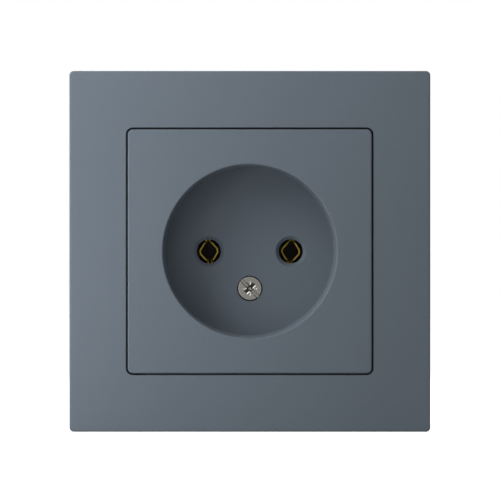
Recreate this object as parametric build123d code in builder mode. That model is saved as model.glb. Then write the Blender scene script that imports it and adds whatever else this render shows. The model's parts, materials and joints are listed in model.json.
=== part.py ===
from build123d import *
import os
from math import cos, radians, sin, tan

# Ungrounded two-pin wall socket with a one-gang cover frame, made of separate pieces.
# X points right and Z up, seen from the room, and Y points into the wall. The wall's face
# is the plane Y = 0, and the origin lies on it, behind the middle of the plug well.
# A name that ends in _out is a distance from the wall towards the room, so it is -Y.
# All lengths are millimetres and all angles degrees.

# Cover frame
FRAME_SIZE = 83.0
FRAME_PROJECTION = 9.5
FRAME_CORNER_R = 1.0
FRAME_EDGE_R = 0.4
FRAME_SKIN = 2.0
FRAME_WALL = 1.8
FRAME_OPENING_WALL = 1.6
FRAME_OPENING_EDGE_R = 0.12
FRAME_RIB_T = 1.2
FRAME_RIB_H = 3.2
FRAME_RIB_PITCH = 21.0
LEDGE_T = 1.5
LEDGE_W = 2.0
LUG_BACK_OUT = 0.3

# Front plate and plug well
PLATE_SIZE = 56.1
PLATE_CORNER_R = 1.2
PLATE_EDGE_R = 0.3
PLATE_SKIN = 2.0
PLATE_WALL = 1.4
PLATE_GAP = 0.42
PLATE_PROUD = 0.2
PLATE_DEPTH = 3.4
PLATE_RIB_T = 1.2
PLATE_CORNER_RIB = 17.0
WELL_MOUTH_D = 40.1
WELL_TAPER = 1.2
WELL_DEPTH = 12.0
WELL_RIM_R = 0.3
WELL_FLOOR_R = 0.2
WELL_WALL = 1.65
WELL_FLOOR_T = 2.2
PIN_SPACING = 19.0
PIN_HOLE_D = 5.6
PIN_LEAD_D = 7.1
PIN_LEAD_ANGLE = 90.0

# Face screw and its square nut
FACE_SCREW_DROP = 8.6
FACE_SCREW_D = 3.0
FACE_SCREW_LENGTH = 10.0
FACE_HEAD_D = 5.6
FACE_HEAD_H = 1.8
FACE_HEAD_EDGE_R = 0.25
FACE_HEAD_SINK = 0.06
FACE_HEAD_GAP = 0.15
FACE_BOSS_H = 1.6
FACE_BOSS_WALL = 1.2
FACE_NUT_W = 5.5
FACE_NUT_T = 1.8
FACE_NUT_INSET = 2.6

# Drive of every screw: a slot across the head, a tapered cross recess and a ball-nosed pit
# at its centre, and four tick marks between the arms
SLOT_W = 0.85
SLOT_DEPTH = 0.7
SLOT_TAPER = 14.0
CROSS_SPAN = 2.6
CROSS_W = 0.6
CROSS_BEVEL = 0.22
CROSS_BEVEL_DEPTH = 0.12
CROSS_ROOT_SPAN = 0.36
CROSS_ROOT_W = 0.12
CROSS_DEPTH = 1.2
PIT_D = 1.3
PIT_DEPTH = 1.25
TICK_RADIUS = 1.25
TICK_LENGTH = 0.9
TICK_W = 0.4
TICK_DEPTH = 0.06
TICK_TAPER = 72.0
SLOT_ANGLE = -45.0

# Clearances
THREAD_CLEARANCE = 0.05
SCREW_CLEARANCE = 0.2
FIT = 0.15
TOUCH_GAP = 0.05

# Support ring
RING_SIZE = 70.0
RING_CORNER_R = 10.0
RING_T = 1.0
RING_GAP = 0.9
BOX_SCREW_SPACING = 60.0
BOX_SLOT_W = 4.2
BOX_SLOT_LENGTH = 7.0
CORNER_HOLE_SPACING = 54.0
CORNER_HOLE_D = 3.6
LEG_GAP = 0.4
LEG_FIT = 0.2
LEG_W = 7.0
LEG_LENGTH = 17.0
LEG_BEND_R = 0.6
LEG_CORNER_R = 1.0
LEG_WINDOW_W = 4.2
CATCH_H = 0.9
CATCH_L = 2.6
CATCH_END = 1.8

# Insulating base and the cover over its contacts
BASE_W = 42.0
BASE_CORNER_R = 6.0
BASE_EDGE_R = 0.8
BASE_WALL = 1.6
POST_GAP = 0.5
COVER_T = 1.5
COVER_LAP = 1.3
COVER_CORNER_R = 1.0
COVER_HOLE_GAP = 0.4
HOLDER_W = 5.0
HOLDER_H = 4.0
BAY_WALL = 1.2
BAY_MARGIN = 0.6
WIRE_GUIDE_T = 1.7
WIRE_GUIDE_W = 1.4
WIRE_GUIDE_H = 3.0
CORE_INSET = 6.0
CORE_FRONT_WALL = 3.5

# Pin contacts, folded from one brass sheet, and their steel clips
SHEET_T = 0.5
PIN_LENGTH = 19.0
PIN_END_GAP = 0.6
JAW_INSET = 0.4
JAW_TIP_X = 2.03
JAW_TIP_Z = 0.45
JAW_ARM_X = 0.8
JAW_ARM_Z = 2.05
JAW_LIP_X = 0.4
JAW_LIP_START = 2.4
JAW_LIP_END = 3.3
JAW_BEND_R = 0.3
JAW_EDGE_R = 0.21
JAW_TILT = 5.8
RELIEF_W = 2.6
RELIEF_H = 0.4
RELIEF_DEPTH = 9.0
CLIP_T = 0.4
CLIP_W = 3.0
CLIP_SETBACK = 2.5

# Screw terminals
SEAT_W = 10.0
SEAT_LENGTH = 7.2
TAIL_W = 6.0
TAIL_LAP = 0.4
TERMINAL_Z = 12.6
TERMINAL_SCREW_D = 3.5
TERMINAL_HEAD_D = 6.5
TERMINAL_HEAD_H = 2.2
TERMINAL_TIP = 4.3
COLLAR_D = 5.0
COLLAR_H = 1.8
WIRE_GAP = 3.0
CLAMP_W = 9.6
CLAMP_L = 6.8
CLAMP_T = 1.2
CLAMP_CORNER_R = 0.8
WIRE_GROOVE_R = 1.3
WIRE_GROOVE_X = 3.2
WIRE_GROOVE_DEPTH = 0.45

# Fixing claws, their screws and return springs
CLAW_SCREW_OUT = 5.5
CLAW_SCREW_D = 3.0
CLAW_HEAD_D = 5.6
CLAW_HEAD_H = 2.0
CLAW_REST = 18.7
CLAW_T = 1.2
CLAW_GAUGE = 6.8
CLAW_REACH = 3.0
CLAW_FRONT = 7.6
CLAW_SIDE_GAP = 0.6
CLAW_RAMP_GAP = 0.25
CLAW_ANGLE = 30.0
TOOTH_PITCH = 2.2
TOOTH_DEPTH = 1.0
TOOTH_COUNT = 3
RAMP_RISE = 4.5
RAMP_BACK = 17.5
RAMP_T = 1.6
CLAW_SCREW_TAIL = 3.6
UPSET_GROWTH = 0.35
UPSET_LENGTH = 0.8
SPRING_WIRE_D = 0.5
SPRING_D = 4.6
SPRING_TURNS = 8

# Levels along the depth that several pieces share
plate_front_out = FRAME_PROJECTION + PLATE_PROUD
plate_back_out = plate_front_out - PLATE_SKIN
ledge_front_out = plate_front_out - PLATE_DEPTH
ledge_back_out = ledge_front_out - LEDGE_T
floor_front_out = plate_front_out - WELL_DEPTH
floor_back_out = floor_front_out - WELL_FLOOR_T
boss_back_out = floor_back_out - FACE_BOSS_H
head_top_out = floor_front_out - FACE_HEAD_SINK
head_under_out = head_top_out - FACE_HEAD_H
base_front_out = floor_back_out
cover_back_out = base_front_out - COVER_T
jaw_front_out = cover_back_out - JAW_INSET
jaw_back_out = floor_front_out - PIN_LENGTH - PIN_END_GAP
strap_back_out = jaw_back_out - SHEET_T
bay_front_out = strap_back_out - BAY_WALL
seat_start = -bay_front_out + BAY_MARGIN
seat_end = seat_start + SEAT_LENGTH
terminal_y = (seat_start + seat_end) / 2
guide_front_out = -seat_end - BAY_MARGIN
base_back_out = guide_front_out - WIRE_GUIDE_T
nut_front_out = boss_back_out - FACE_NUT_INSET
face_screw_end_out = head_under_out - FACE_SCREW_LENGTH

# Places across the face that several pieces share
pin_x = PIN_SPACING / 2
opening = PLATE_SIZE + 2 * PLATE_GAP
opening_r = PLATE_CORNER_R + PLATE_GAP
well_outer_r = WELL_MOUTH_D / 2 + WELL_WALL
well_floor_r = (WELL_MOUTH_D - WELL_TAPER) / 2
well_floor_outer_r = well_floor_r + WELL_WALL
boss_r = FACE_HEAD_D / 2 + FACE_HEAD_GAP + FACE_BOSS_WALL
leg_inside_z = well_outer_r + LEG_GAP
base_top_z = leg_inside_z - LEG_FIT
base_side_x = BASE_W / 2
claw_x = base_side_x + CLAW_SCREW_OUT
chamber_w = SEAT_W + 2 * BAY_MARGIN
chamber_low_z = -JAW_LIP_END - 2 * BAY_MARGIN
chamber_top_z = TERMINAL_Z + BAY_MARGIN
shelf_z = TERMINAL_Z - SHEET_T
cover_w = PIN_SPACING + chamber_w + 2 * COVER_LAP
cover_low_z = chamber_low_z - COVER_LAP
cover_top_z = chamber_top_z + COVER_LAP
catch_back = LEG_LENGTH - CATCH_END
catch_front = catch_back - CATCH_L
ramp_front = RAMP_BACK - RAMP_RISE / tan(radians(CLAW_ANGLE))
cheek_inside_z = CLAW_GAUGE / 2
cheek_outside_z = cheek_inside_z + CLAW_T
screw_tip_z = TERMINAL_Z - TERMINAL_TIP
clamp_under_z = TERMINAL_Z + WIRE_GAP
terminal_head_under_z = clamp_under_z + CLAMP_T
clip_x = JAW_TIP_X + SHEET_T / 2 + TOUCH_GAP + CLIP_T / 2
clip_back = -strap_back_out + TOUCH_GAP + CLIP_T / 2

os.makedirs("parts", exist_ok=True)
SIDES = {"left": -1, "right": 1}


def facing_room(out):
    """Plane parallel to the wall, at a distance from it, that faces the room."""
    return Plane.XZ.offset(out)


def pin_plane(out, side):
    """Plane across one pin's axis, turned with the tilt of its contact jaws."""
    return facing_room(out) * Pos(side * pin_x, 0, 0) * Rot(0, 0, -side * JAW_TILT)


def save(piece, name):
    """Label a finished piece and write it to its own STEP file."""
    piece.label = name
    export_step(piece, f"parts/{name}.step")


def cut_drive(plane, head_d, turn):
    """Cut the slot, the cross recess, the pit and the tick marks into the screw head at a plane."""
    with BuildSketch(plane) as slot:
        Rectangle(head_d + 2 * SLOT_DEPTH, SLOT_W, rotation=turn)
    extrude(slot.sketch, amount=-SLOT_DEPTH, taper=SLOT_TAPER, mode=Mode.SUBTRACT)
    levels = (
        (0, CROSS_SPAN + 2 * CROSS_BEVEL, CROSS_W + 2 * CROSS_BEVEL),
        (CROSS_BEVEL_DEPTH, CROSS_SPAN, CROSS_W),
        (CROSS_DEPTH, CROSS_ROOT_SPAN, CROSS_ROOT_W),
    )
    sections = []
    for depth, span, width in levels:
        with BuildSketch(plane * Pos(0, 0, -depth)) as cross:
            Rectangle(span, width, rotation=turn)
            Rectangle(width, span, rotation=turn)
        sections.append(cross.sketch)
    loft(sections, ruled=True, mode=Mode.SUBTRACT)
    nose_depth = PIT_DEPTH - PIT_D / 2
    with BuildSketch(plane) as pit:
        Circle(PIT_D / 2)
    extrude(pit.sketch, amount=-nose_depth, mode=Mode.SUBTRACT)
    with Locations(plane * Pos(0, 0, -nose_depth)):
        Sphere(PIT_D / 2, mode=Mode.SUBTRACT)
    with BuildSketch(plane) as ticks:
        with PolarLocations(TICK_RADIUS, 4, start_angle=turn + 45):
            Rectangle(TICK_LENGTH, TICK_W)
    extrude(ticks.sketch, amount=-TICK_DEPTH, taper=TICK_TAPER, mode=Mode.SUBTRACT)


# Cover frame: a skin with an outer skirt, a wall around its opening and a ledge in it,
# on which the front plate sits
skirt_inside = FRAME_SIZE - 2 * FRAME_WALL
skin_back_out = FRAME_PROJECTION - FRAME_SKIN
opening_wall_back_out = RING_T + CLAW_HEAD_H + 2 * SCREW_CLEARANCE
opening_wall_size = opening + 2 * FRAME_OPENING_WALL
channel = (skirt_inside - opening_wall_size) / 2
lug_depth = (skirt_inside - RING_SIZE) / 2 - SCREW_CLEARANCE

with BuildPart() as cover_frame:
    with BuildSketch(facing_room(0)):
        RectangleRounded(FRAME_SIZE, FRAME_SIZE, FRAME_CORNER_R)
    extrude(amount=FRAME_PROJECTION)
    fillet(cover_frame.faces().sort_by(Axis.Y)[0].edges(), FRAME_EDGE_R)
    with BuildSketch(facing_room(0)):
        Rectangle(skirt_inside, skirt_inside)
    extrude(amount=skin_back_out, mode=Mode.SUBTRACT)
    with BuildSketch(facing_room(opening_wall_back_out)):
        Rectangle(opening_wall_size, opening_wall_size)
    extrude(amount=skin_back_out - opening_wall_back_out)
    with BuildSketch(facing_room(FRAME_PROJECTION)):
        RectangleRounded(opening, opening, opening_r)
    extrude(amount=-FRAME_PROJECTION, mode=Mode.SUBTRACT)
    front_edges = cover_frame.faces().sort_by(Axis.Y)[0].inner_wires()[0].edges()
    fillet(front_edges, FRAME_OPENING_EDGE_R)
    with BuildSketch(facing_room(ledge_back_out)):
        Rectangle(opening + FRAME_OPENING_WALL, opening + FRAME_OPENING_WALL)
        Rectangle(opening - 2 * LEDGE_W, opening - 2 * LEDGE_W, mode=Mode.SUBTRACT)
    extrude(amount=LEDGE_T)
    # Stiffening ribs across the channel, three on each side
    with BuildSketch(facing_room(skin_back_out)):
        with PolarLocations((opening_wall_size + channel) / 2, 4):
            with GridLocations(0, FRAME_RIB_PITCH, 1, 3):
                Rectangle(channel + FRAME_OPENING_WALL, FRAME_RIB_T)
    extrude(amount=-FRAME_RIB_H)
    # Lugs on the skirt that centre the frame on the support ring
    with BuildSketch(facing_room(LUG_BACK_OUT)):
        with PolarLocations((skirt_inside - lug_depth) / 2, 4):
            with GridLocations(0, 2 * FRAME_RIB_PITCH, 1, 2):
                Rectangle(lug_depth, 2 * FRAME_RIB_T)
    extrude(amount=skin_back_out - LUG_BACK_OUT)
save(cover_frame.part, "cover_frame")

# Front plate: a shallow tray with the plug well hanging from it
plate_inside = PLATE_SIZE - 2 * PLATE_WALL
rib_run = plate_inside / 2 - well_outer_r + WELL_WALL
corner_rib_mid = well_outer_r - WELL_WALL + PLATE_CORNER_RIB / 2

with BuildPart() as front_plate:
    with BuildSketch(facing_room(plate_front_out)):
        RectangleRounded(PLATE_SIZE, PLATE_SIZE, PLATE_CORNER_R)
    extrude(amount=-PLATE_DEPTH)
    fillet(front_plate.faces().sort_by(Axis.Y)[0].edges(), PLATE_EDGE_R)
    with BuildSketch(facing_room(ledge_front_out)):
        Rectangle(plate_inside, plate_inside)
    extrude(amount=PLATE_DEPTH - PLATE_SKIN, mode=Mode.SUBTRACT)
    with BuildSketch(facing_room(plate_back_out)):
        with PolarLocations((plate_inside - rib_run) / 2, 4):
            Rectangle(rib_run, PLATE_RIB_T)
        with PolarLocations(corner_rib_mid, 4, start_angle=45):
            Rectangle(PLATE_CORNER_RIB, PLATE_RIB_T)
    extrude(amount=ledge_front_out - plate_back_out)
    with BuildSketch(Plane.XY):
        with BuildLine():
            Polyline(
                (0, -plate_back_out),
                (well_outer_r, -plate_back_out),
                (well_floor_outer_r, -floor_back_out),
                (0, -floor_back_out),
                close=True,
            )
        make_face()
    revolve(axis=Axis.Y)
    with BuildSketch(Plane.XY):
        with BuildLine():
            Polyline(
                (0, -plate_front_out),
                (WELL_MOUTH_D / 2, -plate_front_out),
                (well_floor_r, -floor_front_out),
                (0, -floor_front_out),
                close=True,
            )
        make_face()
    revolve(axis=Axis.Y, mode=Mode.SUBTRACT)
    rings = front_plate.edges().filter_by(GeomType.CIRCLE)
    fillet(rings.group_by(Axis.Y)[0].sort_by(SortBy.RADIUS)[-1], WELL_RIM_R)
    rings = front_plate.edges().filter_by(GeomType.CIRCLE)
    floor_rings = rings.filter_by_position(Axis.Y, -floor_front_out - FIT, -floor_front_out + FIT)
    fillet(floor_rings.sort_by(SortBy.RADIUS)[-1], WELL_FLOOR_R)
    # Boss behind the floor for the face screw
    with BuildSketch(facing_room(floor_back_out)):
        with Locations((0, -FACE_SCREW_DROP)):
            Circle(boss_r)
    extrude(amount=-FACE_BOSS_H)
    with Locations(facing_room(floor_front_out) * Pos(0, -FACE_SCREW_DROP, 0)):
        CounterBoreHole(
            FACE_SCREW_D / 2 + SCREW_CLEARANCE,
            FACE_HEAD_D / 2 + FACE_HEAD_GAP,
            FACE_HEAD_SINK + FACE_HEAD_H,
            WELL_FLOOR_T + FACE_BOSS_H,
        )
    # Pin holes with a cone to lead the pins in
    for side in SIDES.values():
        with Locations(facing_room(floor_front_out) * Pos(side * pin_x, 0, 0)):
            CounterSinkHole(PIN_HOLE_D / 2, PIN_LEAD_D / 2, WELL_FLOOR_T, PIN_LEAD_ANGLE)
save(front_plate.part, "front_plate")

# Face screw that draws the plate, and the frame under it, onto the base
head_plane = facing_room(head_top_out) * Pos(0, -FACE_SCREW_DROP, 0)

with BuildPart() as face_screw:
    with BuildSketch(head_plane):
        Circle(FACE_HEAD_D / 2)
    extrude(amount=-FACE_HEAD_H)
    fillet(face_screw.faces().sort_by(Axis.Y)[0].edges(), FACE_HEAD_EDGE_R)
    with BuildSketch(facing_room(head_under_out) * Pos(0, -FACE_SCREW_DROP, 0)):
        Circle(FACE_SCREW_D / 2)
    extrude(amount=-FACE_SCREW_LENGTH)
    cut_drive(head_plane, FACE_HEAD_D, SLOT_ANGLE)
save(face_screw.part, "face_screw")

with BuildPart() as face_nut:
    with BuildSketch(facing_room(nut_front_out) * Pos(0, -FACE_SCREW_DROP, 0)):
        Rectangle(FACE_NUT_W, FACE_NUT_W)
        Circle(FACE_SCREW_D / 2 + THREAD_CLEARANCE, mode=Mode.SUBTRACT)
    extrude(amount=-FACE_NUT_T)
save(face_nut.part, "face_nut")

# Support ring: a pressed plate on the wall, with two legs bent back that hold the base
ring_hole_r = well_outer_r + RING_GAP
leg_outside_z = leg_inside_z + RING_T
leg_root_z = ring_hole_r + 2 * RING_T

with BuildPart() as support_ring:
    with BuildSketch(facing_room(0)):
        RectangleRounded(RING_SIZE, RING_SIZE, RING_CORNER_R)
        Circle(ring_hole_r, mode=Mode.SUBTRACT)
        with GridLocations(0, BOX_SCREW_SPACING, 1, 2):
            SlotOverall(BOX_SLOT_LENGTH, BOX_SLOT_W, rotation=90, mode=Mode.SUBTRACT)
        with GridLocations(CORNER_HOLE_SPACING, CORNER_HOLE_SPACING, 2, 2):
            Circle(CORNER_HOLE_D / 2, mode=Mode.SUBTRACT)
        with GridLocations(2 * claw_x, 0, 2, 1):
            Circle(CLAW_SCREW_D / 2 + SCREW_CLEARANCE, mode=Mode.SUBTRACT)
    extrude(amount=RING_T)
    with BuildSketch(Plane.YZ):
        with BuildLine():
            FilletPolyline(
                (-RING_T / 2, leg_root_z),
                (-RING_T / 2, leg_inside_z + RING_T / 2),
                (LEG_LENGTH, leg_inside_z + RING_T / 2),
                radius=LEG_BEND_R + RING_T / 2,
            )
        trace(line_width=RING_T)
    extrude(amount=LEG_W / 2, both=True)
    leg_ends = support_ring.faces().sort_by(Axis.Y)[-1].edges().filter_by(Axis.Z)
    fillet(leg_ends, LEG_CORNER_R)
    with BuildSketch(Plane.XY.offset(leg_inside_z)):
        with Locations((0, (catch_front + catch_back) / 2)):
            Rectangle(LEG_WINDOW_W, CATCH_L + 2 * FIT)
    extrude(amount=RING_T, mode=Mode.SUBTRACT)
    mirror(about=Plane.XY)
save(support_ring.part, "support_ring")

# Insulating base: a block with a chamber and a terminal bay for each contact
bay_mid_z = (shelf_z + base_top_z) / 2
bay_h = base_top_z - shelf_z
collar_room = COLLAR_D + 2 * SCREW_CLEARANCE
core_w = base_side_x - CORE_INSET - 2 * BASE_WALL
core_top_z = screw_tip_z - WIRE_GAP - BASE_WALL
deep_core_top_z = chamber_low_z - BASE_WALL
core_low_z = -base_top_z + 2 * BASE_WALL
nut_slot_top_z = -FACE_SCREW_DROP + FACE_NUT_W / 2 + FIT

with BuildPart() as base_body:
    with BuildSketch(facing_room(base_front_out)):
        RectangleRounded(BASE_W, 2 * base_top_z, BASE_CORNER_R)
    extrude(amount=base_back_out - base_front_out)
    fillet(base_body.faces().sort_by(Axis.Y)[-1].edges(), BASE_EDGE_R)
    # Corner posts that bear on the back of the support ring
    with BuildSketch(facing_room(base_front_out)):
        RectangleRounded(BASE_W, 2 * base_top_z, BASE_CORNER_R)
        Circle(well_outer_r + POST_GAP, mode=Mode.SUBTRACT)
    extrude(amount=-base_front_out)
    # Recess for the contact cover, and a chamber behind it for each contact
    with BuildSketch(facing_room(base_front_out)):
        with Locations((0, (cover_low_z + cover_top_z) / 2)):
            Rectangle(cover_w + 2 * FIT, cover_top_z - cover_low_z + 2 * FIT)
    extrude(amount=-COVER_T, mode=Mode.SUBTRACT)
    with BuildSketch(facing_room(base_front_out)):
        with Locations((0, (chamber_low_z + chamber_top_z) / 2)):
            with GridLocations(PIN_SPACING, 0, 2, 1):
                Rectangle(chamber_w, chamber_top_z - chamber_low_z)
    extrude(amount=strap_back_out - base_front_out, mode=Mode.SUBTRACT)
    with BuildSketch(facing_room(strap_back_out)):
        with GridLocations(PIN_SPACING, 0, 2, 1):
            Circle(clip_x + CLIP_T + FIT)
    extrude(amount=-CLIP_T - 2 * FIT, mode=Mode.SUBTRACT)
    # Terminal bays, open at the top and at the back, with a passage for the contact's tail
    with BuildSketch(facing_room(bay_front_out)):
        with Locations((0, bay_mid_z)):
            with GridLocations(PIN_SPACING, 0, 2, 1):
                Rectangle(chamber_w, bay_h)
    extrude(amount=base_back_out - bay_front_out, mode=Mode.SUBTRACT)
    with BuildSketch(facing_room(strap_back_out)):
        with Locations((0, shelf_z + SHEET_T / 2)):
            with GridLocations(PIN_SPACING, 0, 2, 1):
                Rectangle(SEAT_W + 2 * FIT, SHEET_T + 2 * FIT)
    extrude(amount=-BAY_WALL, mode=Mode.SUBTRACT)
    with BuildSketch(facing_room(strap_back_out)):
        with Locations((0, shelf_z - COLLAR_H / 2)):
            with GridLocations(PIN_SPACING, 0, 2, 1):
                Rectangle(collar_room, COLLAR_H + 2 * FIT)
    extrude(amount=-terminal_y - strap_back_out, mode=Mode.SUBTRACT)
    with BuildSketch(Plane.XY.offset(shelf_z)):
        with Locations((0, terminal_y)):
            with GridLocations(PIN_SPACING, 0, 2, 1):
                Circle(collar_room / 2)
    extrude(amount=screw_tip_z - WIRE_GAP - shelf_z, mode=Mode.SUBTRACT)
    # Guides that part the wires at the back of each bay
    with BuildSketch(facing_room(guide_front_out)):
        with Locations((0, shelf_z + WIRE_GUIDE_H / 2)):
            with GridLocations(PIN_SPACING, 0, 2, 1):
                with GridLocations(chamber_w / 2 - WIRE_GUIDE_W / 2, 0, 3, 1):
                    Rectangle(WIRE_GUIDE_W, WIRE_GUIDE_H)
    extrude(amount=-WIRE_GUIDE_T)
    # Seat for the plate's boss, bore for the face screw and a slot for its nut
    with BuildSketch(facing_room(base_front_out) * Pos(0, -FACE_SCREW_DROP, 0)):
        Circle(boss_r + SCREW_CLEARANCE)
    extrude(amount=-FACE_BOSS_H - FIT, mode=Mode.SUBTRACT)
    with BuildSketch(facing_room(base_front_out) * Pos(0, -FACE_SCREW_DROP, 0)):
        Circle(FACE_SCREW_D / 2 + SCREW_CLEARANCE)
    extrude(amount=face_screw_end_out - FIT - base_front_out, mode=Mode.SUBTRACT)
    with BuildSketch(facing_room(nut_front_out + FIT / 2)):
        with Locations((0, (nut_slot_top_z - base_top_z) / 2)):
            Rectangle(FACE_NUT_W + 2 * FIT, nut_slot_top_z + base_top_z)
    extrude(amount=-FACE_NUT_T - FIT, mode=Mode.SUBTRACT)
    # Cores from the back that keep the walls even, deeper below the chambers than behind them
    with BuildSketch(facing_room(base_back_out)):
        with Locations((0, (core_top_z + core_low_z) / 2)):
            with GridLocations(2 * CORE_INSET + core_w, 0, 2, 1):
                Rectangle(core_w, core_top_z - core_low_z)
    extrude(amount=bay_front_out - base_back_out, mode=Mode.SUBTRACT)
    with BuildSketch(facing_room(base_back_out)):
        with Locations((0, (deep_core_top_z + core_low_z) / 2)):
            with GridLocations(2 * CORE_INSET + core_w, 0, 2, 1):
                Rectangle(core_w, deep_core_top_z - core_low_z)
    extrude(amount=base_front_out - CORE_FRONT_WALL - base_back_out, mode=Mode.SUBTRACT)
    # Ramps at both sides that spread the claws as they are drawn forward
    for side in SIDES.values():
        for ramp_z in (cheek_inside_z, -cheek_inside_z - RAMP_T):
            with BuildSketch(Plane.XY.offset(ramp_z)):
                with BuildLine():
                    Polyline(
                        (side * (base_side_x - BASE_WALL), RAMP_BACK),
                        (side * base_side_x, RAMP_BACK),
                        (side * (base_side_x + RAMP_RISE), ramp_front),
                        (side * (base_side_x + RAMP_RISE), ramp_front - BASE_WALL),
                        (side * (base_side_x - BASE_WALL), ramp_front - BASE_WALL),
                        close=True,
                    )
                make_face()
            extrude(amount=RAMP_T)
    # Catches that snap into the windows of the ring's legs
    for side in SIDES.values():
        with BuildSketch(Plane.YZ):
            with BuildLine():
                Polyline(
                    (catch_front, side * (base_top_z - BASE_WALL)),
                    (catch_front, side * base_top_z),
                    (catch_back, side * (base_top_z + CATCH_H)),
                    (catch_back, side * (base_top_z - BASE_WALL)),
                    close=True,
                )
            make_face()
        extrude(amount=LEG_WINDOW_W / 2 - FIT, both=True)
save(base_body.part, "base_body")

# Cover that holds both contacts in their chambers
holder_z = (JAW_LIP_END + shelf_z) / 2

with BuildPart() as contact_cover:
    with BuildSketch(facing_room(cover_back_out)):
        with Locations((0, (cover_low_z + cover_top_z) / 2)):
            RectangleRounded(cover_w, cover_top_z - cover_low_z, COVER_CORNER_R)
        with GridLocations(PIN_SPACING, 0, 2, 1):
            Circle(PIN_HOLE_D / 2 + COVER_HOLE_GAP, mode=Mode.SUBTRACT)
        with Locations((0, -FACE_SCREW_DROP)):
            Circle(boss_r + SCREW_CLEARANCE, mode=Mode.SUBTRACT)
    extrude(amount=COVER_T)
    with BuildSketch(facing_room(cover_back_out)):
        with Locations((0, holder_z)):
            with GridLocations(PIN_SPACING, 0, 2, 1):
                Rectangle(HOLDER_W, HOLDER_H)
    extrude(amount=jaw_back_out + TOUCH_GAP - cover_back_out)
save(contact_cover.part, "contact_cover")

# Pin contacts with their clips, and the screw terminals on their tails
for name, side in SIDES.items():
    tilt = radians(-side * JAW_TILT)
    with BuildPart() as contact:
        # Two V-shaped jaws that grip the pin
        with BuildSketch(pin_plane(jaw_front_out, side)):
            for jaw in (-1, 1):
                with BuildLine():
                    FilletPolyline(
                        (jaw * JAW_LIP_X, JAW_LIP_END),
                        (jaw * JAW_LIP_X, JAW_LIP_START),
                        (jaw * JAW_ARM_X, JAW_ARM_Z),
                        (jaw * JAW_TIP_X, JAW_TIP_Z),
                        (jaw * JAW_TIP_X, -JAW_TIP_Z),
                        (jaw * JAW_ARM_X, -JAW_ARM_Z),
                        (jaw * JAW_LIP_X, -JAW_LIP_START),
                        (jaw * JAW_LIP_X, -JAW_LIP_END),
                        radius=JAW_BEND_R,
                    )
                trace(line_width=SHEET_T)
        extrude(amount=jaw_back_out - jaw_front_out)
        fillet(contact.faces().sort_by(Axis.Y)[:2].edges(), JAW_EDGE_R)
        # Relief cuts where the arms turn into the lips
        with BuildSketch(pin_plane(jaw_front_out, side)):
            with GridLocations(0, JAW_ARM_Z + JAW_LIP_START, 1, 2):
                Rectangle(RELIEF_W, RELIEF_H)
        extrude(amount=-RELIEF_DEPTH, mode=Mode.SUBTRACT)
        # Straps behind the jaws' lips, tail up to the terminal and the seat for the wires
        with BuildSketch(pin_plane(jaw_back_out, side)):
            with GridLocations(0, JAW_LIP_START + JAW_LIP_END, 1, 2):
                Rectangle(2 * JAW_LIP_X + SHEET_T, JAW_LIP_END - JAW_LIP_START)
        extrude(amount=-SHEET_T)
        tail_low_z = JAW_LIP_END - TAIL_LAP
        with BuildSketch(facing_room(jaw_back_out)):
            with Locations((side * pin_x, (tail_low_z + TERMINAL_Z) / 2)):
                Rectangle(TAIL_W, TERMINAL_Z - tail_low_z)
        extrude(amount=-SHEET_T)
        with BuildSketch(Plane.XY.offset(shelf_z)):
            with Locations((side * pin_x, (seat_start - jaw_back_out) / 2)):
                Rectangle(TAIL_W, seat_start + jaw_back_out)
            with Locations((side * pin_x, terminal_y)):
                RectangleRounded(SEAT_W, SEAT_LENGTH, CLAMP_CORNER_R)
        extrude(amount=SHEET_T)
        with BuildSketch(Plane.XY.offset(shelf_z)):
            with Locations((side * pin_x, terminal_y)):
                Circle(COLLAR_D / 2)
        extrude(amount=-COLLAR_H)
        with BuildSketch(Plane.XY.offset(TERMINAL_Z)):
            with Locations((side * pin_x, terminal_y)):
                Circle(TERMINAL_SCREW_D / 2 + THREAD_CLEARANCE)
        extrude(amount=-SHEET_T - COLLAR_H, mode=Mode.SUBTRACT)
        bend = contact.edges().filter_by(Axis.X)
        bend = bend.sort_by_distance((side * pin_x, -jaw_back_out, TERMINAL_Z))[0]
        fillet(bend, SHEET_T)
    save(contact.part, f"contact_{name}")

    clip_plane = Plane(
        origin=(side * pin_x, 0, 0),
        x_dir=(cos(tilt), 0, sin(tilt)),
        z_dir=(-sin(tilt), 0, cos(tilt)),
    )
    with BuildPart() as contact_clip:
        with BuildSketch(clip_plane):
            with BuildLine():
                FilletPolyline(
                    (-clip_x, CLIP_SETBACK - jaw_front_out),
                    (-clip_x, clip_back),
                    (clip_x, clip_back),
                    (clip_x, CLIP_SETBACK - jaw_front_out),
                    radius=CLIP_T / 2 + 2 * TOUCH_GAP,
                )
            trace(line_width=CLIP_T)
        extrude(amount=CLIP_W / 2, both=True)
    save(contact_clip.part, f"contact_clip_{name}")

    head_top_z = terminal_head_under_z + TERMINAL_HEAD_H
    terminal_plane = Plane.XY.offset(head_top_z) * Pos(side * pin_x, terminal_y, 0)
    with BuildPart() as terminal_screw:
        with BuildSketch(terminal_plane):
            Circle(TERMINAL_HEAD_D / 2)
        extrude(amount=-TERMINAL_HEAD_H)
        fillet(terminal_screw.faces().sort_by(Axis.Z)[-1].edges(), FACE_HEAD_EDGE_R)
        with BuildSketch(terminal_plane):
            Circle(TERMINAL_SCREW_D / 2)
        extrude(amount=screw_tip_z - head_top_z)
        cut_drive(terminal_plane, TERMINAL_HEAD_D, 0)
    save(terminal_screw.part, f"terminal_screw_{name}")

    with BuildPart() as clamp_plate:
        with BuildSketch(Plane.XY.offset(clamp_under_z) * Pos(side * pin_x, terminal_y, 0)):
            RectangleRounded(CLAMP_W, CLAMP_L, CLAMP_CORNER_R)
            Circle(TERMINAL_SCREW_D / 2 + SCREW_CLEARANCE, mode=Mode.SUBTRACT)
        extrude(amount=CLAMP_T)
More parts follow.
